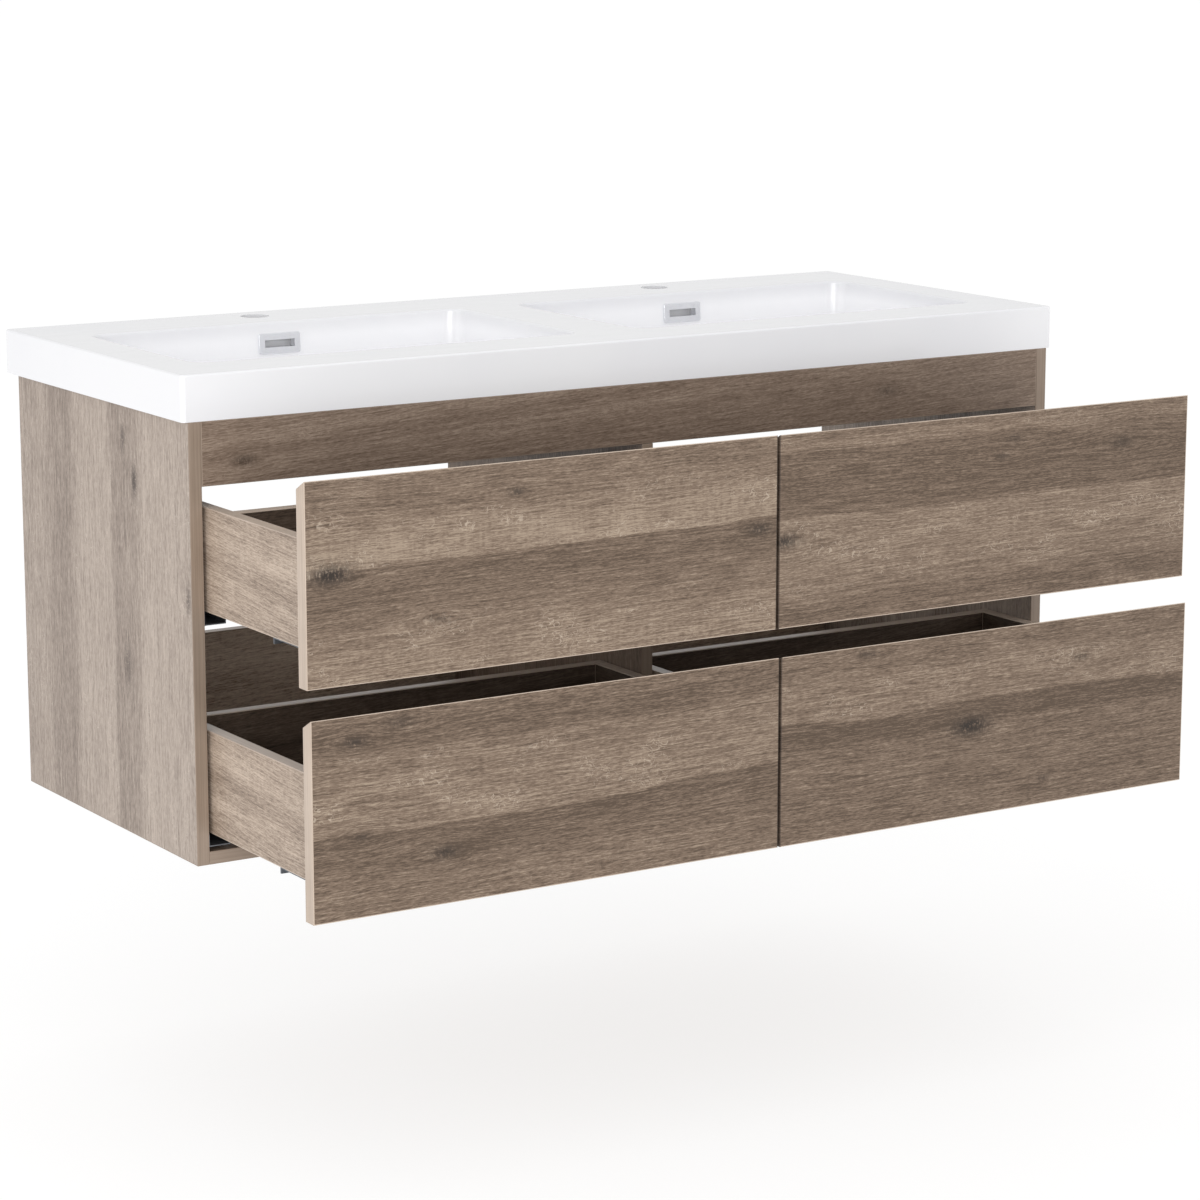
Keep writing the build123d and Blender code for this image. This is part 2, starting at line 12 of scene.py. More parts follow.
import bpy
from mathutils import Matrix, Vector


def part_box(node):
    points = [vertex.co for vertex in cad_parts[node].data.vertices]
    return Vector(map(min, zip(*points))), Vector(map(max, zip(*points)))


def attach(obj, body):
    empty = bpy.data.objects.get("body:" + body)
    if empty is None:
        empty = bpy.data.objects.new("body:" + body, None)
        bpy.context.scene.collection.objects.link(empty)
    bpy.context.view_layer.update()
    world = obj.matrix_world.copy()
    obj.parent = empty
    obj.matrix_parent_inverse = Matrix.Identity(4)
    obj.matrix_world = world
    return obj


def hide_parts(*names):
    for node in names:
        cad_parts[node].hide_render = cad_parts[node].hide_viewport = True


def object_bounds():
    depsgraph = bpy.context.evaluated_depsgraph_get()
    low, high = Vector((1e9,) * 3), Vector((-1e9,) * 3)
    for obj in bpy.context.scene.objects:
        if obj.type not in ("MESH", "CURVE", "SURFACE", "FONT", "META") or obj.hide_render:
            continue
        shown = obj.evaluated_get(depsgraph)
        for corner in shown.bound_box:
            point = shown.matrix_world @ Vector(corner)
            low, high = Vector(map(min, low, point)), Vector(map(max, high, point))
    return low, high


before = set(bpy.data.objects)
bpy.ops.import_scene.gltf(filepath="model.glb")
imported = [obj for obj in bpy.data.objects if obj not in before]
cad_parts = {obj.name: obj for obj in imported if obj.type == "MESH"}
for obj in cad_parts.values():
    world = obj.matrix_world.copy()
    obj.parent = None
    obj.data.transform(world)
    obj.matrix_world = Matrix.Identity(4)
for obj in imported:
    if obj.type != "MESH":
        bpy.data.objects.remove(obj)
CAD_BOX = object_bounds()

Triple = Tuple[float, float, float]
Pair = Tuple[float, float]
Number = Union["Value", float]
Finish = Union["CastStone", "Metal", "MouldedPlastic"]
SlotChooser = Callable[[Vector, Vector], int]

log = logging.getLogger("vanity")


# ---- Colours and shader maths ---------------------------------------------------------


def shade(red: float, green: float, blue: float, opacity: float = 1.0) -> Tuple[float, ...]:
    """Turn a display colour of 0 to 255 into the linear colour that shaders take.

    Args:
        red: Red on the display scale.
        green: Green on the display scale.
        blue: Blue on the display scale.
        opacity: The fourth number, left as it is.

    Returns:
        Linear red, green and blue with the opacity.
    """
    linear = []
    for level in (red, green, blue):
        share = level / 255
        linear.append(share / 12.92 if share <= 0.04045 else ((share + 0.055) / 1.055) ** 2.4)
    return (*linear, opacity)


class Value:
    """A number in a shader, which plain arithmetic turns into Math nodes."""

    def __init__(self, graph: "Graph", socket: bpy.types.NodeSocket) -> None:
        """Wrap one output socket of a graph."""
        self.graph = graph
        self.socket = socket

    def __add__(self, other: Number) -> "Value":
        """This plus another."""
        return self.graph.math("ADD", self, other)

    def __radd__(self, other: Number) -> "Value":
        """Another plus this."""
        return self.graph.math("ADD", other, self)

    def __sub__(self, other: Number) -> "Value":
        """This less another."""
        return self.graph.math("SUBTRACT", self, other)

    def __rsub__(self, other: Number) -> "Value":
        """Another less this."""
        return self.graph.math("SUBTRACT", other, self)

    def __mul__(self, other: Number) -> "Value":
        """This times another."""
        return self.graph.math("MULTIPLY", self, other)

    def __rmul__(self, other: Number) -> "Value":
        """Another times this."""
        return self.graph.math("MULTIPLY", other, self)

    def __truediv__(self, other: Number) -> "Value":
        """This over another."""
        return self.graph.math("DIVIDE", self, other)

    def exp(self) -> "Value":
        """The exponential of this."""
        return self.graph.math("EXPONENT", self)

    def absolute(self) -> "Value":
        """This without its sign."""
        return self.graph.math("ABSOLUTE", self)

    def step(self, low: float, high: float) -> "Value":
        """A smooth rise from 0 at low to 1 at high, or a fall where low is the larger.

        Args:
            low: The number that becomes 0.
            high: The number that becomes 1.

        Returns:
            The eased share, kept between 0 and 1.
        """
        ends = {1: min(low, high), 2: max(low, high)}
        ends.update({3: 0.0, 4: 1.0} if low < high else {3: 1.0, 4: 0.0})
        settings = {"interpolation_type": "SMOOTHSTEP", "clamp": True}
        made = self.graph.node("ShaderNodeMapRange", settings, {0: self, **ends})
        return Value(self.graph, made.outputs[0])


class Graph:
    """The nodes of one material, which end in a Principled shader."""

    def __init__(self, name: str, constants: Dict[str, Any]) -> None:
        """Make the material and set what is the same all over it.

        Args:
            name: Name of the material.
            constants: Values for sockets of the shader, by name.
        """
        self.material = bpy.data.materials.new(name)
        self.material.use_nodes = True
        self.tree = self.material.node_tree
        self.tree.nodes.clear()
        self.shader = self.node("ShaderNodeBsdfPrincipled", {}, constants)
        self.node("ShaderNodeOutputMaterial", {}, {"Surface": self.shader.outputs[0]})
        self.place = self.node("ShaderNodeTexCoord").outputs["Object"]

    def node(
        self,
        kind: str,
        settings: Optional[Dict[str, Any]] = None,
        sockets: Optional[Dict[Union[str, int], Any]] = None,
    ) -> bpy.types.Node:
        """Add a node, its settings first and then its sockets.

        Args:
            kind: The node's type.
            settings: Properties of the node; "stops" holds a ramp's positions and colours.
            sockets: Values or links of its inputs, by name or number.

        Returns:
            The new node.
        """
        made = self.tree.nodes.new(kind)
        for key, value in (settings or {}).items():
            if key == "stops":
                self._set_stops(made.color_ramp, value)
            else:
                setattr(made, key, value)
        for key, value in (sockets or {}).items():
            self.set(made, key, value)
        return made

    def set(self, node: bpy.types.Node, key: Union[str, int], value: Any) -> None:
        """Give one input of a node a link or a value.

        Args:
            node: The node.
            key: The input's name or number.
            value: A Value or socket to link, or a plain value.
        """
        if isinstance(value, Value):
            value = value.socket
        if isinstance(value, bpy.types.NodeSocket):
            self.tree.links.new(value, node.inputs[key])
        else:
            node.inputs[key].default_value = value

    @staticmethod
    def _set_stops(ramp: bpy.types.ColorRamp, stops: Sequence[Tuple[float, Any]]) -> None:
        """Fill a ramp with stops of position and colour or grey level.

        Args:
            ramp: The ramp.
            stops: Positions in rising order, each with a colour or a grey level.
        """
        while len(ramp.elements) < len(stops):
            ramp.elements.new(1.0)
        for element, (position, colour) in zip(ramp.elements, stops):
            element.position = position
            grey = isinstance(colour, (int, float))
            element.color = (colour, colour, colour, 1.0) if grey else colour

    def math(self, operation: str, left: Number, right: Number = 0.0) -> Value:
        """One Math node.

        Args:
            operation: What it does.
            left: First number.
            right: Second number, where the operation has one.

        Returns:
            Its result.
        """
        made = self.node("ShaderNodeMath", {"operation": operation}, {0: left, 1: right})
        return Value(self, made.outputs[0])

    def vector(self, x: Number, y: Number, z: Number) -> bpy.types.NodeSocket:
        """Join three numbers into a vector."""
        return self.node("ShaderNodeCombineXYZ", {}, {0: x, 1: y, 2: z}).outputs[0]

    def split(self, vector: bpy.types.NodeSocket) -> List[Value]:
        """Split a vector into its three numbers."""
        made = self.node("ShaderNodeSeparateXYZ", {}, {0: vector})
        return [Value(self, socket) for socket in made.outputs]

    def stretched(self, scale: Triple, shift: Triple = (0.0, 0.0, 0.0)) -> bpy.types.NodeSocket:
        """Object coordinates, scaled and shifted by a Mapping node."""
        sockets = {"Vector": self.place, "Location": shift, "Scale": scale}
        return self.node("ShaderNodeMapping", {}, sockets).outputs[0]

    def noise(
        self,
        vector: bpy.types.NodeSocket,
        scale: float,
        detail: float = 2.0,
        roughness: float = 0.5,
        distortion: float = 0.0,
    ) -> Value:
        """A Noise texture.

        Args:
            vector: Where it is read.
            scale: How many cells go into a metre of the vector.
            detail: Octaves.
            roughness: Weight of the finer octaves.
            distortion: How far it is stirred.

        Returns:
            Its number, about 0.5 on average.
        """
        sockets = {
            "Vector": vector, "Scale": scale, "Detail": detail,
            "Roughness": roughness, "Distortion": distortion,
        }
        return Value(self, self.node("ShaderNodeTexNoise", {}, sockets).outputs[0])

    def cells(self, vector: bpy.types.NodeSocket, scale: float) -> Value:
        """A grey level for each cell of a Voronoi texture."""
        made = self.node("ShaderNodeTexVoronoi", {}, {"Vector": vector, "Scale": scale})
        return self.split(made.outputs["Color"])[0]

    def ramp(self, value: Number, stops: Sequence[Tuple[float, Any]]) -> bpy.types.NodeSocket:
        """The colour that a ramp gives a number."""
        made = self.node("ShaderNodeValToRGB", {"stops": stops}, {0: value})
        return made.outputs[0]

    def level(self, value: Number, stops: Sequence[Tuple[float, float]]) -> Value:
        """The grey level that a ramp gives a number."""
        made = self.node("ShaderNodeValToRGB", {"stops": stops}, {0: value})
        return self.split(made.outputs[0])[0]

    def mix(self, factor: Number, first: Any, second: Any) -> bpy.types.NodeSocket:
        """A colour between two, as a factor says."""
        settings = {"data_type": "RGBA", "clamp_factor": True}
        return self.node("ShaderNodeMix", settings, {0: factor, 6: first, 7: second}).outputs[2]

    def bump(self, height: Number, strength: float, distance: float) -> None:
        """Raise the surface by a height map.

        Args:
            height: The map, 0 to 1.
            strength: How much of it shows.
            distance: Height of a full step, in metres.
        """
        sockets = {"Height": height, "Strength": strength, "Distance": distance}
        made = self.node("ShaderNodeBump", {}, sockets)
        self.set(self.shader, "Normal", made.outputs[0])

    def finish(self, **sockets: Any) -> bpy.types.Material:
        """Link what varies over the surface and hand the material over.

        Args:
            **sockets: Inputs of the shader, with _ for a space.

        Returns:
            The finished material.
        """
        for key, value in sockets.items():
            self.set(self.shader, key.replace("_", " "), value)
        return self.material


# ---- Finishes -------------------------------------------------------------------------


class Axis(Enum):
    """An axis of the frame."""

    X = 0
    Y = 1
    Z = 2


@dataclass(frozen=True)
class Knot:
    """A knot in the printed oak decor, placed by shares of its board."""

    along: float                # share of the board's length along the grain
    across: float               # share of its width across the grain
    size: float = 0.010         # half length of the dark eye
    reach: float = 0.045        # how far round it the grain is bent
    strength: float = 1.0       # darkness of the eye


@dataclass(frozen=True)
class Decor:
    """Where and how a board was cut from the printed decor."""

    seed: float                                             # place in the printed sheet
    zones: Tuple[Pair, ...] = (                             # place across the board and tone
        (0.0, 0.45), (0.22, 0.55), (0.42, 0.38), (0.6, 0.62), (0.8, 0.5), (1.0, 0.42))
    slope: float = 0.06                                     # rise of the zones along the grain
    knots: Tuple[Knot, ...] = ()
    sawn: float = 1.0                                       # strength of the cross marks


@dataclass(frozen=True)
class Layer:
    """One noise layer of the printed figure, in cells to the metre."""

    along: float
    across: float
    shift: float = 0.0          # how far past the board's seed it is cut
    detail: float = 2.0
    roughness: float = 0.5
    stirred: float = 0.0
    weight: float = 1.0         # how far it moves the tone or the grain

    def read(self, graph: Graph, u: Number, v: Number, seed: Number) -> Value:
        """The layer's number at a place.

        Args:
            graph: The material's nodes.
            u: Place along the grain.
            v: Place across the grain.
            seed: Place in the printed sheet.

        Returns:
            A number, about 0.5 on average.
        """
        place = graph.vector(u * self.along, v * self.across, seed + self.shift)
        return graph.noise(place, 1.0, self.detail, self.roughness, self.stirred)

    def swing(self, number: Value) -> Value:
        """How far a number of this layer moves the tone or the grain, either way."""
        return (number - 0.5) * self.weight


@dataclass(frozen=True)
class Figure:
    """The layers of the oak figure, and where each of them shows."""

    wander: Layer = Layer(2.2, 9.0)                                 # slow drift of the grain
    wave: Layer = Layer(14.0, 40.0, 3.0, weight=0.004)              # short waves in it
    spread: Layer = Layer(5.0, 60.0, weight=0.07)                   # ragged edges of the zones
    streak: Layer = Layer(7.0, 210.0, 5.0, 3.0, 0.6, weight=0.62)   # year rings
    pore: Layer = Layer(130.0, 860.0, 0.0, 2.0, 0.75, weight=1.35)  # open pores
    line: Layer = Layer(24.0, 560.0, 9.0, 3.0, 0.65, weight=1.25)   # fine dark lines
    saw: Layer = Layer(230.0, 26.0, 11.0, 1.0, weight=0.30)         # marks across the grain
    ray: Layer = Layer(75.0, 105.0, 13.0, 1.0, stirred=1.2)         # bright curled flecks
    patch: Layer = Layer(11.0, 30.0, 17.0, 3.0, 0.6, weight=0.25)   # where the flecks lie
    smudge: Layer = Layer(320.0, 190.0, 0.0, 3.0, 0.7)              # broken colour in a knot
    zone_wander: float = 0.022          # metres that the zones drift
    grain_wander: float = 0.012         # metres that the lines drift
    pore_depth: float = 40.0            # cells to the metre through the board
    stops: Triple = (0.12, 0.5, 0.88)   # tones of the dark, middle and light colours
    ray_width: float = 0.024
    ray_patches: Pair = (0.48, 0.62)
    ray_zones: Pair = (0.38, 0.56)
    ray_cover: float = 0.70
    saw_zones: Pair = (0.4, 0.7)
    cut_lines: Pair = (0.40, 0.30)
    cut_streaks: Pair = (0.56, 0.44)
    cut_cover: float = 0.30
    halo_edge: Pair = (0.40, 0.62)
    halo_cover: float = 0.50
    eye_edge: Pair = (0.30, 0.52)
    eye_cover: float = 1.5
    knot_squash: float = 0.42           # a knot's width across the grain, to its length
    knot_bend: float = 0.22             # how far it bends the grain, to its reach


@dataclass(frozen=True)
class Oak:
    """Grey-brown oak decor on melamine board, with pores, zones, knots and flecks."""

    name: str
    dark: Triple = (80, 65, 52)
    middle: Triple = (118, 100, 85)
    light: Triple = (154, 137, 119)
    eye: Triple = (46, 38, 32)
    fleck: Triple = (184, 169, 152)
    contrast: float = 1.0
    roughness: float = 0.46
    relief: float = 0.0004      # depth of the pressed pores
    figure: Figure = Figure()

    def material(
        self, low: Vector, high: Vector, along: Axis, across: Axis, decor: Decor
    ) -> bpy.types.Material:
        """Make the decor of one board.

        Args:
            low: Lowest corner of the board.
            high: Its highest corner.
            along: The axis that the grain follows.
            across: The other axis of the board's face.
            decor: Where the board was cut.

        Returns:
            The material.
        """
        graph = Graph(self.name, {"IOR": 1.45, "Specular IOR Level": 0.38})
        axes = graph.split(graph.place)
        size = high - low
        u = axes[along.value] - low[along.value]
        v = axes[across.value] - low[across.value]
        depth = axes[({0, 1, 2} - {along.value, across.value}).pop()]
        bend, eye, halo = self.knots(decor.knots, u, v, size[along.value], size[across.value])
        figure, seed = self.figure, decor.seed

        drift = v - bend - u * decor.slope
        wander = figure.wander.swing(figure.wander.read(graph, u, v, seed))
        wave = figure.wave.swing(figure.wave.read(graph, u, v, seed))
        spread = figure.spread.swing(figure.spread.read(graph, u, drift, seed))
        share = (drift + wander * figure.zone_wander) / size[across.value] + spread
        zone = graph.level(share, decor.zones)

        w = drift + wander * figure.grain_wander + wave
        streak = figure.streak.read(graph, u, w, seed)
        pore = figure.pore.read(graph, u, w, depth * figure.pore_depth)
        line = figure.line.read(graph, u, w, seed)
        patch = figure.patch.read(graph, u, w, seed)
        saw = figure.saw.swing(figure.saw.read(graph, u, w, seed))
        tone = (
            zone
            + figure.streak.swing(streak)
            + figure.pore.swing(pore)
            + figure.line.swing(line)
            + saw * zone.step(*figure.saw_zones) * decor.sawn
            + figure.patch.swing(patch)
        )
        tone = (tone - 0.5) * self.contrast + 0.5
        shades = (shade(*self.dark), shade(*self.middle), shade(*self.light))
        colour = graph.ramp(tone, tuple(zip(figure.stops, shades)))

        ray = figure.ray.swing(figure.ray.read(graph, u, w, seed)).absolute()
        gate = patch.step(*figure.ray_patches) * zone.step(*figure.ray_zones)
        ray = ray.step(figure.ray_width, 0.0) * gate
        colour = graph.mix(ray * figure.ray_cover, colour, shade(*self.fleck))
        cut = line.step(*figure.cut_lines) * streak.step(*figure.cut_streaks)
        colour = graph.mix(cut * figure.cut_cover, colour, shade(*self.dark))
        if decor.knots:
            smudge = figure.smudge.read(graph, u, v, seed)
            halo = halo * smudge.step(*figure.halo_edge) * figure.halo_cover
            eye = eye * smudge.step(*figure.eye_edge) * figure.eye_cover
            colour = graph.mix(halo, colour, shade(*self.dark))
            colour = graph.mix(eye, colour, shade(*self.eye))
        rough = self.roughness + (pore - 0.5) * 0.22 + (streak - 0.5) * 0.12
        graph.bump(pore * 0.6 + line * 0.4, 0.22, self.relief)
        return graph.finish(Base_Color=colour, Roughness=rough)

    def knots(
        self, knots: Sequence[Knot], u: Value, v: Value, length: float, width: float
    ) -> Tuple[Number, Number, Number]:
        """Work out what the knots do at a place.

        Args:
            knots: The board's knots.
            u: Place along the grain.
            v: Place across it.
            length: The board's length along the grain.
            width: Its width across it.

        Returns:
            How far the grain is bent, the darkness of the eyes and that of the halos.
        """
        bend, eye, halo = 0.0, 0.0, 0.0
        for knot in knots:
            reach_across = knot.reach * self.figure.knot_squash
            du = (u - knot.along * length) / knot.reach
            dv = (v - knot.across * width) / reach_across
            away = du * du + dv * dv
            near = (away * -1.0).exp()
            tight = (away * (-1.0 * (reach_across / knot.size) ** 2)).exp()
            bend = bend + near * dv * (knot.reach * self.figure.knot_bend)
            halo = halo + near * knot.strength
            eye = eye + tight * knot.strength
        return bend, eye, halo


@dataclass(frozen=True)
class EdgeBand:
    """Plastic edge band in a lighter oak print, ironed onto the edges of a board."""

    name: str
    thickness: Axis
    colour: Triple = (196, 180, 165)
    line: Triple = (160, 143, 128)

    def material(self) -> bpy.types.Material:
        """Make the band's material, with fine lines along each edge."""
        graph = Graph(self.name, {"IOR": 1.46})
        fine = [9.0, 9.0, 9.0]
        fine[self.thickness.value] = 900.0
        long = graph.noise(graph.stretched(tuple(fine)), 1.0, 2.0, 0.6)
        soft = graph.noise(graph.stretched((26.0, 26.0, 26.0)), 1.0, 2.0)
        mask = (long - 0.5) * 1.3 + (soft - 0.5) * 0.5 + 0.34
        colour = graph.mix(mask, shade(*self.colour), shade(*self.line))
        graph.bump(long, 0.10, 0.0002)
        return graph.finish(Base_Color=colour, Roughness=0.36 + (long - 0.5) * 0.2)


@dataclass(frozen=True)
class CastStone:
    """Glossy white gel coat over cast resin."""

    name: str
    colour: Triple = (232, 232, 234)
    cloud: Triple = (229, 229, 232)
    bowl_painted_light: Triple = (246, 246, 248)      # painted light: a whiter colour in the bowls
    bowl_light_margin: float = 0.012               # how far in and down the painted light starts

    def material(self) -> bpy.types.Material:
        """Make the gel coat, with its faint clouds, orange peel and painted light in the bowls.
        """
        low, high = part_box("countertop")
        graph = Graph(self.name, {"IOR": 1.5, "Coat Weight": 0.35, "Coat Roughness": 0.06})
        cloud = graph.noise(graph.stretched((5.0, 5.0, 5.0)), 1.0, 3.0, 0.55)
        peel = graph.noise(graph.stretched((260.0, 260.0, 260.0)), 1.0, 2.0)
        wipe = graph.noise(graph.stretched((14.0, 40.0, 40.0)), 1.0, 3.0, 0.6)
        colour = graph.mix(cloud.step(0.38, 0.66), shade(*self.colour), shade(*self.cloud))
        x, y, z = graph.split(graph.place)
        middle, half = (high.y + low.y) / 2, (high.y - low.y) / 2
        # Painted light: a mask that is 1 inside the basins and below the deck, where the colour
        # turns whiter.
        in_x = x.absolute().step(high.x - self.bowl_light_margin, high.x - 2 * self.bowl_light_margin)
        in_y = (y - middle).absolute().step(half - self.bowl_light_margin, half - 2 * self.bowl_light_margin)
        sunk = z.step(high.z - self.bowl_light_margin / 4, high.z - 2 * self.bowl_light_margin)
        colour = graph.mix(in_x * in_y * sunk, colour, shade(*self.bowl_painted_light))
        graph.bump(peel, 0.03, 0.0002)
        return graph.finish(Base_Color=colour, Roughness=0.16 + wipe * 0.08)


@dataclass(frozen=True)
class Metal:
    """Plated or brushed metal."""

    name: str
    colour: Triple
    tint: Triple
    gloss: float                # roughness
    spangle: float = 0.0        # size of the zinc flowers, cells to the metre
    brushed: Optional[Axis] = None

    def material(self) -> bpy.types.Material:
        """Make the metal with its haze, zinc flowers or brush lines."""
        graph = Graph(self.name, {"Metallic": 1.0})
        haze = graph.noise(graph.stretched((70.0, 70.0, 70.0)), 1.0, 3.0, 0.6)
        mask = haze.step(0.35, 0.75) * 0.5
        rough = self.gloss + haze * (0.5 * self.gloss)
        if self.spangle:
            flower = graph.cells(graph.place, self.spangle)
            mask = mask + flower * 0.6
            rough = rough + flower * (0.5 * self.gloss)
        if self.brushed:
            scale = [1400.0, 1400.0, 1400.0]
            scale[self.brushed.value] = 12.0
            brush = graph.noise(graph.stretched(tuple(scale)), 1.0, 2.0, 0.6)
            mask = mask + (brush - 0.5) * 0.5
            graph.bump(brush, 0.08, 0.0001)
        colour = graph.mix(mask, shade(*self.colour), shade(*self.tint))
        return graph.finish(Base_Color=colour, Roughness=rough)


@dataclass(frozen=True)
class MouldedPlastic:
    """Injection-moulded plastic with a fine spark-eroded texture."""

    name: str
    colour: Triple
    worn: Triple
    gloss: float = 0.5

    def material(self) -> bpy.types.Material:
        """Make the plastic with its texture and faint flow marks."""
        graph = Graph(self.name, {"IOR": 1.47})
        spark = graph.noise(graph.stretched((1500.0, 1500.0, 1500.0)), 1.0, 2.0, 0.6)
        flow = graph.noise(graph.stretched((30.0, 90.0, 60.0)), 1.0, 2.0)
        colour = graph.mix(flow.step(0.45, 0.75) * 0.6, shade(*self.colour), shade(*self.worn))
        graph.bump(spark, 0.15, 0.0001)
        return graph.finish(Base_Color=colour, Roughness=self.gloss + (spark - 0.5) * 0.2)


# ---- Bench: modelling moves -----------------------------------------------------------


class Bench:
    """Modelling moves that every new piece shares."""

    @staticmethod
    def block(name: str, low: Vector, high: Vector) -> bpy.types.Object:
        """Add a cube primitive that fills a box, its place in its mesh.

        Args:
            name: Name of the piece.
            low: Lowest corner.
            high: Highest corner.

        Returns:
            The new object.
        """
        bpy.ops.object.select_all(action="DESELECT")
        low, high = Vector(low), Vector(high)
        bpy.ops.mesh.primitive_cube_add(size=1.0, location=(low + high) / 2, scale=high - low)
        piece = bpy.context.active_object
        piece.name = piece.data.name = name
        bpy.ops.object.transform_apply(location=True, rotation=True, scale=True)
        return piece

    @staticmethod
    def rod(name: str, start: Vector, end: Vector, radius: float) -> bpy.types.Object:
        """Add a cylinder primitive between two points, its place in its mesh.

        Args:
            name: Name of the rod.
            start: Middle of one end.
            end: Middle of the other end.
            radius: Its radius.

        Returns:
            The new object.
        """
        bpy.ops.object.select_all(action="DESELECT")
        turn = (end - start).to_track_quat("Z", "Y").to_euler()
        bpy.ops.mesh.primitive_cylinder_add(
            vertices=32, radius=radius, depth=(end - start).length,
            location=(start + end) / 2, rotation=turn)
        piece = bpy.context.active_object
        piece.name = piece.data.name = name
        bpy.ops.object.transform_apply(location=True, rotation=True, scale=True)
        return piece

    @staticmethod
    def slice(piece: bpy.types.Object, point: Vector, normal: Vector, clear: bool) -> None:
        """Cut a piece along a plane in edit mode.

        Args:
            piece: The piece.
            point: A point on the plane.
            normal: The plane's normal.
            clear: True takes away what lies on the normal's side and closes the cut.
        """
        bpy.ops.object.select_all(action="DESELECT")
        bpy.context.view_layer.objects.active = piece
        piece.select_set(True)
        bpy.ops.object.mode_set(mode="EDIT")
        bpy.ops.mesh.select_all(action="SELECT")
        bpy.ops.mesh.bisect(
            plane_co=point, plane_no=normal, use_fill=clear, clear_outer=clear)
        bpy.ops.object.mode_set(mode="OBJECT")

    @staticmethod
    def carve(piece: bpy.types.Object, tool: bpy.types.Object) -> None:
        """Take a tool's shape out of a piece and throw the tool away.

        Args:
            piece: The piece.
            tool: A closed mesh with the shape to take out.
        """
        Bench.modify(piece, "BOOLEAN", operation="DIFFERENCE", object=tool, solver="EXACT")
        bpy.data.objects.remove(tool)

    @staticmethod
    def modify(piece: bpy.types.Object, kind: str, **settings: Any) -> None:
        """Add a modifier to a piece and apply it.

        Args:
            piece: The piece.
            kind: The modifier's type.
            **settings: Its properties.
        """
        bpy.ops.object.select_all(action="DESELECT")
        bpy.context.view_layer.objects.active = piece
        piece.select_set(True)
        modifier = piece.modifiers.new(kind.lower(), kind)
        for key, value in settings.items():
            setattr(modifier, key, value)
        bpy.ops.object.modifier_apply(modifier=modifier.name)

    @staticmethod
    def round_edges(piece: bpy.types.Object, radius: float, segments: int = 3) -> None:
        """Round every sharp edge and keep the flats flat.

        Args:
            piece: The piece.
            radius: Width of the rounding.
            segments: Steps across it.
        """
        Bench.modify(
            piece, "BEVEL", width=radius, segments=segments,
            limit_method="ANGLE", angle_limit=math.radians(30), miter_outer="MITER_ARC")
        bpy.ops.object.shade_smooth_by_angle(angle=math.radians(50))
        Bench.modify(piece, "WEIGHTED_NORMAL", keep_sharp=True)

    @staticmethod
    def dress(
        piece: bpy.types.Object,
        materials: Sequence[bpy.types.Material],
        choose: Optional[SlotChooser] = None,
    ) -> None:
        """Give a piece its materials.

        Args:
            piece: The piece.
            materials: The materials, in slot order.
            choose: Takes a face's centre and normal and gives its slot number.
        """
        piece.data.materials.clear()
        for material in materials:
            piece.data.materials.append(material)
        if choose:
            for face in piece.data.polygons:
                face.material_index = choose(face.center, face.normal)


# ---- Boards ---------------------------------------------------------------------------


@dataclass
class Board:
    """A laminated board that stands for one CAD node, with its edge bands."""

    node: str
    body: str
    thickness: Axis
    along: Axis
    finish: Oak
    decor: Decor
    slot: str = "oak_board"
    band: float = 0.0011        # thickness of the edge band
    rounding: float = 0.0007    # of the edges
    band_colour: Triple = (196, 179, 163)
    inside: int = 0             # direction of the inner face along the thickness, which takes the inner laminate
    # The default inner laminate is a darker copy of the oak: painted shade on the inner faces of
    # the drawers and the rear faces of the fronts.
    inner: Oak = Oak("oak_inside_painted_shade", (48, 39, 32), (84, 70, 59), (112, 97, 84),
                     fleck=(104, 90, 78), contrast=0.8)
    cuts: List[bpy.types.Object] = field(default_factory=list)
    low: Vector = field(init=False)
    high: Vector = field(init=False)

    def __post_init__(self) -> None:
        """Take the board's corners from its CAD node."""
        self.low, self.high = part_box(self.node)

    def build(self) -> bpy.types.Object:
        """Returns:
            The finished piece.
        """
        piece = Bench.block(f"{self.node}_board", self.low, self.high)
        self.shape(piece)
        for tool in self.cuts:
            Bench.carve(piece, tool)
        for axis in Axis:
            if axis is not self.thickness:
                self.mark_bands(piece, axis)
        Bench.round_edges(piece, self.rounding)
        self.dress(piece)
        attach(piece, self.body)
        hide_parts(self.node)
        log.info("%s stands for %s on %s", piece.name, self.node, self.body)
        return piece

    def shape(self, piece: bpy.types.Object) -> None:
        """Give the blank its own outline; a plain board keeps it."""

    def mark_bands(self, piece: bpy.types.Object, axis: Axis) -> None:
        """Cut the line between laminate and band at both ends of one axis."""
        normal = Vector((0.0, 0.0, 0.0))
        normal[axis.value] = 1.0
        for end, inward in ((self.low, 1), (self.high, -1)):
            Bench.slice(piece, Vector(end) + normal * (inward * self.band), normal, False)

    def is_band(self, centre: Vector, normal: Vector) -> bool:
        """Tell whether a face belongs to the edge band."""
        if abs(normal[self.thickness.value]) < 0.9:
            return True
        for axis in Axis:
            if axis is not self.thickness:
                low, high = self.low[axis.value], self.high[axis.value]
                if centre[axis.value] < low + self.band or centre[axis.value] > high - self.band:
                    return True
        return False

    def dress(self, piece: bpy.types.Object) -> None:
        """Put laminate on the faces, band on the edges and the inner laminate, painted shade or
        painted light, on the inner face.
        """
        across = next(a for a in Axis if a not in (self.thickness, self.along))
        face = self.finish.material(self.low, self.high, self.along, across, self.decor)
        # back: the inner laminate, painted shade on most boards and painted light on the back
        # panel.
        back = self.inner.material(self.low, self.high, self.along, across, self.decor)
        band = EdgeBand(f"edge_band_{self.thickness.name}", self.thickness, self.band_colour)
        Bench.dress(piece, (face, band.material(), back), self.choose)

    def choose(self, centre: Vector, normal: Vector) -> int:
        """Slot number of a face: 0 laminate, 1 edge band, 2 inner laminate, which is painted
        shade or painted light.
        """
        if self.is_band(centre, normal):
            return 1
        return 2 if self.inside * normal[self.thickness.value] > 0 else 0


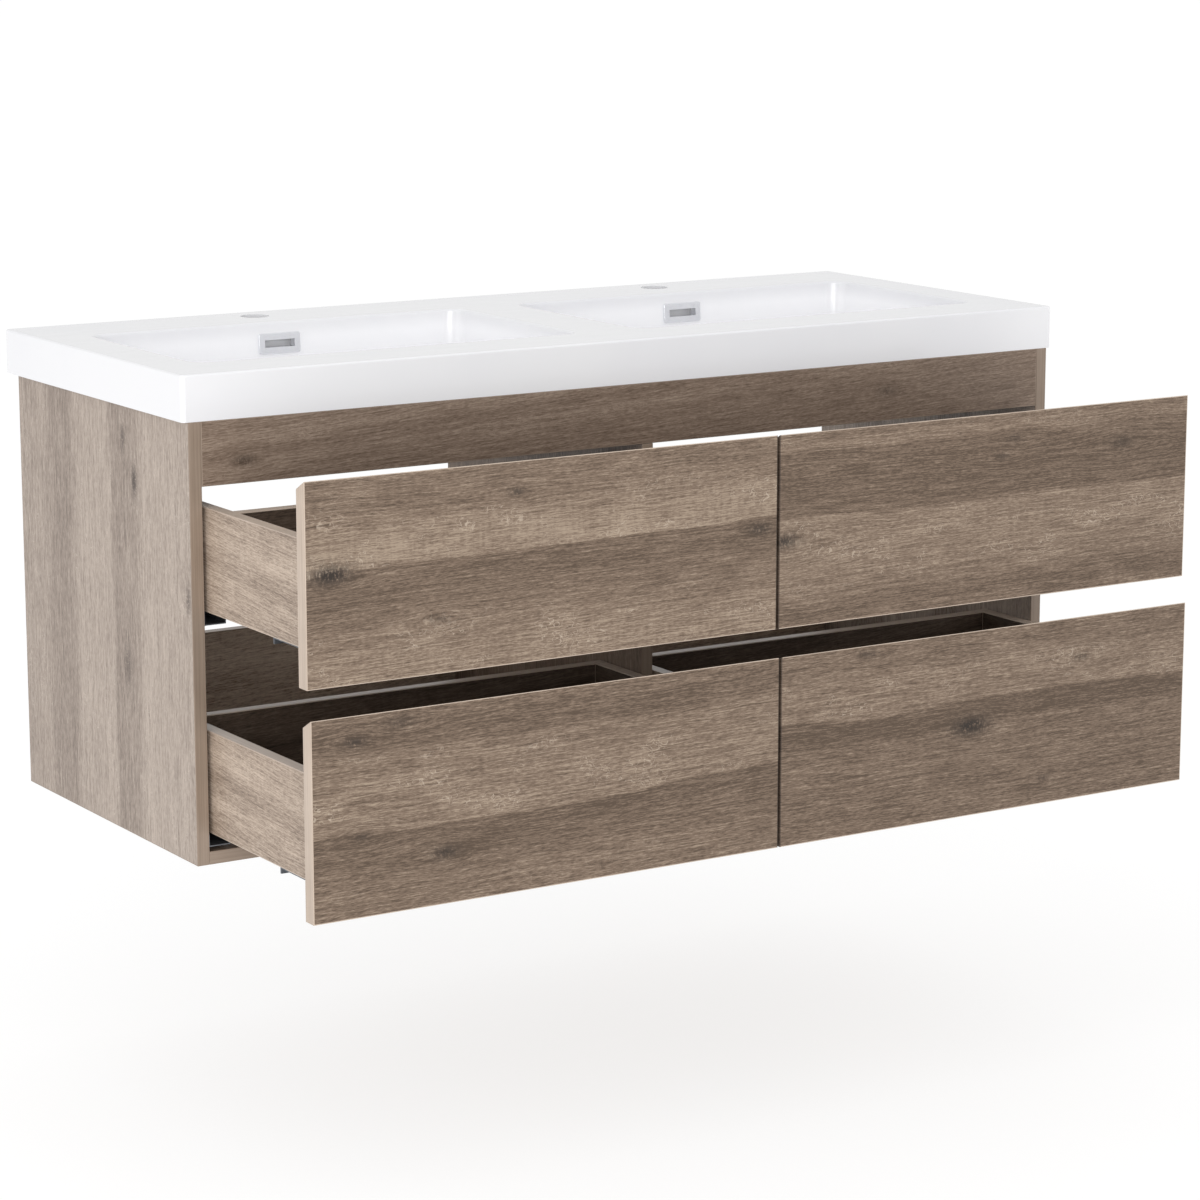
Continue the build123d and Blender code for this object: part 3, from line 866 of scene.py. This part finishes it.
@dataclass
class FrontBoard(Board):
    """A drawer front with a finger pull planed off its rear top edge."""

    pull_depth: float = 0.013       # of the finger pull, from the rear face
    pull_height: float = 0.010
    gap_shade_reach: float = 0.004     # an end this near the middle faces the other front and is painted in shade

    def shape(self, piece: bpy.types.Object) -> None:
        """Plane the finger pull."""
        edge = Vector((0.0, self.high.y - self.pull_depth, self.high.z))
        normal = Vector((0.0, self.pull_height, self.pull_depth))
        Bench.slice(piece, edge, normal, True)

    def choose(self, centre: Vector, normal: Vector) -> int:
        """Slot number of a face: the end in the narrow gap between two fronts takes the dark
        inner laminate, painted shade.
        """
        slot = super().choose(centre, normal)
        return 2 if slot == 1 and abs(centre.x) < self.gap_shade_reach else slot


# ---- Sub-assemblies -------------------------------------------------------------------


@dataclass
class Carcass:
    """The open-backed carcass: end panels, partition, rails, bottom and low back."""

    pale: Oak = Oak("oak_pale", (116, 102, 92), (156, 142, 131), (184, 170, 158),
                    (84, 73, 66), (196, 183, 171), 1.0)
    shaded: Oak = Oak("oak_shaded", (90, 74, 61), (127, 109, 95), (158, 141, 125),
                      fleck=(158, 141, 125), contrast=0.8)
    # A lighter copy of the oak for the back panel's front face: painted light inside the cabinet.
    painted_light_lining: Oak = Oak("oak_lining_painted_light", (128, 110, 96), (178, 160, 144), (206, 189, 173))
    band: Triple = (132, 115, 100)
    play: float = 0.0001                # room round a rail in its notch
    notch_reach: float = 0.02           # half length of a notch's tool across the partition
    side_seeds: Tuple[Tuple[str, float], ...] = (("left", 2.0), ("right", 5.0))
    side_zones: Tuple[Pair, ...] = (
        (0.0, 0.60), (0.26, 0.66), (0.31, 0.46), (0.43, 0.36), (0.46, 0.62),
        (0.64, 0.62), (0.70, 0.36), (0.82, 0.40), (0.86, 0.54), (1.0, 0.50))
    side_knots: Tuple[Knot, ...] = (
        Knot(0.83, 0.31, 0.006, 0.03, 0.9), Knot(0.92, 0.37, 0.006, 0.035, 0.5),
        Knot(0.40, 0.37, 0.010, 0.04, 0.4), Knot(0.60, 0.02, 0.006, 0.03, 0.5))
    rail_knots: Tuple[Knot, ...] = (
        Knot(0.045, 0.35, 0.006, 0.03, 0.4), Knot(0.80, 0.5, 0.006, 0.03, 0.3))

    def build(self) -> None:
        """Build every panel."""
        for side, seed in self.side_seeds:
            decor = Decor(seed, self.side_zones, 0.0, self.side_knots, 0.4)
            self.panel(f"side_panel_{side}", Axis.X, Axis.Z, decor, finish=self.pale)
        self.panel("front_rail", Axis.Y, Axis.X, Decor(8.0, knots=self.rail_knots))
        self.panel("rear_rail", Axis.Y, Axis.X, Decor(9.0))
        # The back panel's front face takes the lighter lining, painted light.
        self.panel("back_panel", Axis.Y, Axis.X, Decor(10.0), inside=-1, inner=self.painted_light_lining)
        self.panel("bottom_panel", Axis.Z, Axis.X, Decor(11.0))
        self.panel("centre_partition", Axis.X, Axis.Z, Decor(12.0), cuts=self.notches())

    def panel(
        self, node: str, thickness: Axis, along: Axis, decor: Decor, **options: Any
    ) -> None:
        """Build one panel of the carcass.

        Args:
            node: The panel's CAD node.
            thickness: The axis through the panel.
            along: The axis that the grain follows.
            decor: Where it was cut.
            **options: Other fields of the board.
        """
        options.setdefault("finish", self.shaded)
        Board(node, "cabinet", thickness, along, decor=decor, band_colour=self.band,
              **options).build()

    def notches(self) -> List[bpy.types.Object]:
        """Tools that notch the partition round the rails and the low back."""
        tools = []
        for node in ("front_rail", "rear_rail", "back_panel"):
            low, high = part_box(node)
            low = Vector((-self.notch_reach, low.y - self.play, low.z - self.play))
            high = Vector((self.notch_reach, high.y + self.play, high.z + self.play))
            tools.append(Bench.block(f"notch_{node}", low, high))
        return tools


@dataclass
class Drawer:
    """One drawer: its front and the four boards of its box."""

    row: str
    bay: str
    decor: Decor
    finish: Oak = Oak("oak_front")
    inner: Oak = Oak("oak_box", (116, 99, 85), (165, 147, 131), (196, 178, 161),
                     fleck=(198, 182, 166), contrast=1.05)
    connector_reach: float = 0.025      # from a side's front end to its screws
    connector_shares: Pair = (0.28, 0.82)   # their heights, as shares of the side's
    screw_hole: float = 0.0033          # radius of a screw's bore
    screw_depth: float = 0.0075
    groove_rise: float = 0.0129         # from a side's lower edge to the bottom's groove
    groove_height: float = 0.0082
    groove_depth: float = 0.006
    overshoot: float = 0.002            # how far a tool stands out of the wood

    @property
    def tag(self) -> str:
        """The end of every node name of this drawer."""
        return f"{self.row}_{self.bay}"

    @property
    def body(self) -> str:
        """The body that the drawer's pieces ride on."""
        return f"drawer_{self.tag}"

    def build(self) -> None:
        """Build the boards of the drawer."""
        seed = self.decor.seed
        FrontBoard(f"front_{self.tag}", self.body, Axis.Y, Axis.X, self.finish,
                   self.decor, inside=1).build()
        for hand in ("left", "right"):
            node = f"drawer_side_{hand}_{self.tag}"
            Board(node, self.body, Axis.X, Axis.Y, self.inner, Decor(seed + 20.0),
                  "drawer_board", inside=1 if hand == "left" else -1,
                  cuts=self.side_tools(node, hand)).build()
        Board(f"drawer_back_{self.tag}", self.body, Axis.Y, Axis.X, self.inner,
              Decor(seed + 30.0), "drawer_board", inside=-1).build()
        Board(f"drawer_bottom_{self.tag}", self.body, Axis.Z, Axis.X, self.inner,
              Decor(seed + 40.0), "drawer_floor", inside=1).build()

    def side_tools(self, node: str, hand: str) -> List[bpy.types.Object]:
        """Tools that groove a drawer side and bore it for the locking screws.

        Args:
            node: The side's CAD node.
            hand: Which side of the drawer it is.

        Returns:
            The tools.
        """
        low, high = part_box(node)
        outer, inner, inward = (low.x, high.x, 1) if hand == "left" else (high.x, low.x, -1)
        out = inward * self.overshoot
        floor = low.z + self.groove_rise
        left, right = sorted((inner - inward * self.groove_depth, inner + out))
        groove_end = Vector((right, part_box(f"drawer_back_{self.tag}")[1].y,
                             floor + self.groove_height))
        tools = [Bench.block("groove", Vector((left, low.y - self.overshoot, floor)), groove_end)]
        y = low.y + self.connector_reach
        for share in self.connector_shares:
            z = low.z + share * (high.z - low.z)
            start = Vector((outer - out, y, z))
            end = Vector((outer + inward * self.screw_depth, y, z))
            tools.append(Bench.rod("screw_bore", start, end, self.screw_hole))
        return tools


@dataclass
class Hardware:
    """Finishes of the CAD nodes that keep their own shape."""

    finishes: Tuple[Tuple[str, Finish], ...] = (
        ("countertop", CastStone("gel_coat")),
        ("overflow_covers", Metal("chrome", (238, 239, 242), (228, 229, 233), 0.20)),
        ("wall_brackets", Metal("zinc_plate", (168, 170, 174), (138, 141, 146), 0.34, 90.0)),
        ("hanging_brackets", Metal("zinc_bent", (168, 170, 174), (138, 141, 146), 0.34, 90.0)),
        ("carcass_screws", Metal("screw_zinc", (178, 176, 168), (142, 140, 132), 0.28)),
        ("front_connectors", Metal("connector_zinc", (182, 182, 184), (150, 150, 154), 0.26)),
        ("fixed_runners", Metal("runner_fixed", (132, 134, 138), (104, 107, 112), 0.36, 120.0)),
        ("sliding_runners", Metal("runner_sliding", (122, 125, 130), (96, 99, 104), 0.32,
                                  140.0, Axis.Y)),
        ("roller_carriages", MouldedPlastic("cage_plastic", (214, 214, 210), (196, 196, 190))),
        ("locking_clips", MouldedPlastic("clip_plastic", (66, 68, 72), (84, 86, 90), 0.46)),
        ("release_lever", MouldedPlastic("lever_plastic", (98, 102, 108), (118, 122, 128), 0.42)),
    )

    def build(self) -> None:
        """Dress every kept CAD node with the finish of its kind."""
        for kind, finish in self.finishes:
            material = finish.material()
            for name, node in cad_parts.items():
                if name.startswith(kind) and not node.hide_render:
                    for slot in node.material_slots:
                        slot.material = material
                    log.info("%s wears %s", name, material.name)


# ---- Studio ---------------------------------------------------------------------------


@dataclass(frozen=True)
class Softbox:
    """A square area light that points at the cabinet."""

    name: str
    direction: Triple           # from the cabinet towards the light
    distance: float
    size: float                 # length of its side
    power: float                # watts

    def hang(self) -> None:
        """Hang the light."""
        data = bpy.data.lights.new(self.name, "AREA")
        data.size, data.energy = self.size, self.power
        light = bpy.data.objects.new(self.name, data)
        aim = Vector(self.direction).normalized()
        light.location = (CAD_BOX[0] + CAD_BOX[1]) / 2 + aim * self.distance
        light.rotation_euler = aim.to_track_quat("Z", "Y").to_euler()
        bpy.context.scene.collection.objects.link(light)


@dataclass
class Studio:
    """Floor, lights and camera."""

    floor_drop: float = 0.77            # the cabinet hangs this far above the floor
    floor_size: float = 120.0
    floor_glow: float = 0.67            # light that the floor gives off by itself
    floor_paint: Triple = (168, 168, 168)
    floor_scuff: Triple = (165, 165, 165)
    sky_strength: float = 0.88
    softboxes: Tuple[Softbox, ...] = (
        Softbox("key", (-0.90, -0.10, 0.40), 5.0, 3.2, 21.0),
        Softbox("front", (-0.50, -1.0, 0.14), 6.0, 3.4, 150.0),
    )
    camera_place: Triple = (-2.3215, -4.0783, 0.6567)
    camera_turn: float = 32.08          # to the right of straight at the wall, degrees
    camera_tilt: float = 11.30          # below the horizon, degrees
    lens: float = 110.89                # millimetres on a sensor 36 wide

    def build(self) -> None:
        """Set up the floor, the lights and the camera."""
        self.floor()
        self.sky()
        for softbox in self.softboxes:
            softbox.hang()
        self.camera()

    def floor(self) -> None:
        """A plain pale floor."""
        bpy.ops.object.select_all(action="DESELECT")
        place = (0.0, 0.0, -self.floor_drop)
        bpy.ops.mesh.primitive_plane_add(size=self.floor_size, location=place)
        floor = bpy.context.active_object
        floor.name = "studio_floor"
        constants = {
            "Roughness": 0.9, "Specular IOR Level": 0.0,
            "Emission Color": (1.0, 1.0, 1.0, 1.0), "Emission Strength": self.floor_glow,
        }
        graph = Graph("floor_paint", constants)
        soft = graph.noise(graph.stretched((1.5, 1.5, 1.5)), 1.0)
        colour = graph.mix(soft, shade(*self.floor_paint), shade(*self.floor_scuff))
        Bench.dress(floor, (graph.finish(Base_Color=colour),))

    def sky(self) -> None:
        """An even white surround."""
        world = bpy.data.worlds.new("studio_surround")
        world.use_nodes = True
        back = world.node_tree.nodes["Background"]
        back.inputs[0].default_value = (1.0, 1.0, 1.0, 1.0)
        back.inputs[1].default_value = self.sky_strength
        bpy.context.scene.world = world

    def camera(self) -> None:
        """Stand the camera in front and to the left, a little above the top."""
        data = bpy.data.cameras.new("camera")
        data.lens, data.sensor_width = self.lens, 36.0
        data.clip_start, data.clip_end = 0.05, 200.0
        camera = bpy.data.objects.new("camera", data)
        camera.location = self.camera_place
        tilt = math.radians(90.0 - self.camera_tilt)
        camera.rotation_euler = (tilt, 0.0, -math.radians(self.camera_turn))
        bpy.context.scene.collection.objects.link(camera)
        bpy.context.scene.camera = camera
        bpy.context.scene.view_settings.view_transform = "Standard"


DRAWERS = (
    Drawer("upper", "left", Decor(
        31.0, ((0.0, 0.60), (0.14, 0.56), (0.28, 0.42), (0.44, 0.32), (0.53, 0.30),
               (0.54, 0.66), (0.64, 0.68), (0.74, 0.56), (0.82, 0.44), (1.0, 0.42)), 0.02,
        (Knot(0.050, 0.54, 0.010, 0.05, 0.75), Knot(0.43, 0.85, 0.004, 0.03, 0.5),
         Knot(0.96, 0.53, 0.007, 0.04, 0.5), Knot(0.27, 0.27, 0.004, 0.03, 0.3)))),
    Drawer("upper", "right", Decor(
        43.0, ((0.0, 0.38), (0.07, 0.30), (0.15, 0.44), (0.30, 0.54), (0.535, 0.56),
               (0.55, 0.32), (0.72, 0.26), (0.86, 0.32), (0.91, 0.52), (1.0, 0.42)), 0.01,
        (Knot(0.012, 0.45, 0.008, 0.06, 0.6), Knot(0.83, 0.78, 0.007, 0.05, 0.35),
         Knot(0.53, 0.77, 0.004, 0.03, 0.35), Knot(0.56, 0.86, 0.005, 0.04, 0.3)))),
    Drawer("lower", "left", Decor(
        57.0, ((0.0, 0.42), (0.12, 0.44), (0.25, 0.32), (0.405, 0.26), (0.42, 0.55),
               (0.60, 0.54), (0.78, 0.46), (0.83, 0.28), (0.92, 0.30), (1.0, 0.44)), 0.01,
        (Knot(0.088, 0.87, 0.006, 0.04, 0.5), Knot(0.18, 0.94, 0.007, 0.04, 0.3),
         Knot(0.27, 0.26, 0.007, 0.05, 0.55), Knot(0.10, 0.40, 0.004, 0.03, 0.35)))),
    Drawer("lower", "right", Decor(
        71.0, ((0.0, 0.38), (0.20, 0.34), (0.34, 0.38), (0.49, 0.36), (0.51, 0.20),
               (0.62, 0.22), (0.635, 0.50), (0.80, 0.52), (0.90, 0.38), (1.0, 0.40)), 0.0,
        (Knot(0.455, 0.49, 0.011, 0.05, 0.75), Knot(0.20, 0.955, 0.005, 0.03, 0.35),
         Knot(0.73, 0.78, 0.005, 0.04, 0.35), Knot(0.64, 0.14, 0.004, 0.03, 0.35)))),
)


def main() -> None:
    """Build the carcass, the drawers, the hardware and the studio in order."""
    logging.basicConfig(level=logging.INFO, format="%(name)s: %(message)s")
    Carcass().build()
    for drawer in DRAWERS:
        drawer.build()
    Hardware().build()
    Studio().build()


if __name__ == "__main__":
    main()
